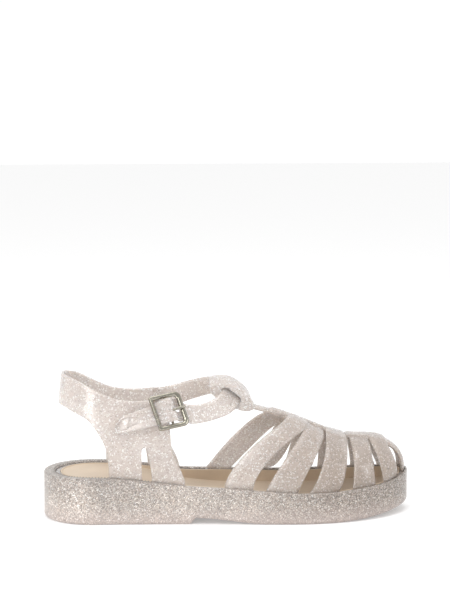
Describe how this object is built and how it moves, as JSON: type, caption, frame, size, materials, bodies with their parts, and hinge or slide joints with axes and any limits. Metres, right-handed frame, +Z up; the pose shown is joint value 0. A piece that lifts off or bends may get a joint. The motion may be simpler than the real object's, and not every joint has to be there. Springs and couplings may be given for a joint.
{
  "type": "jelly sandal",
  "caption": "Moulded fisherman sandal with a closed woven toe, open sides, a heel band, a buckled ankle strap and a thick flat sole.",
  "frame": {"origin": "on the floor under the middle of the sole's length and width", "axes": "+X to the toe, +Z up, -Y to the outer side with the buckle, +Y to the inner side"},
  "size_m": [0.254, 0.0944, 0.0997],
  "materials": {
    "sole": "moulded plastic full of silver and champagne glitter",
    "insole": "soft matt tan foam",
    "upper": "milky see-through jelly plastic with fine glitter",
    "buckle": "polished champagne nickel"
  },
  "bodies": {
    "root": {"sole": "sole", "insole": "insole", "upper": "upper", "buckle_frame": "buckle", "buckle_prong": "buckle"}
  },
  "joints": []
}
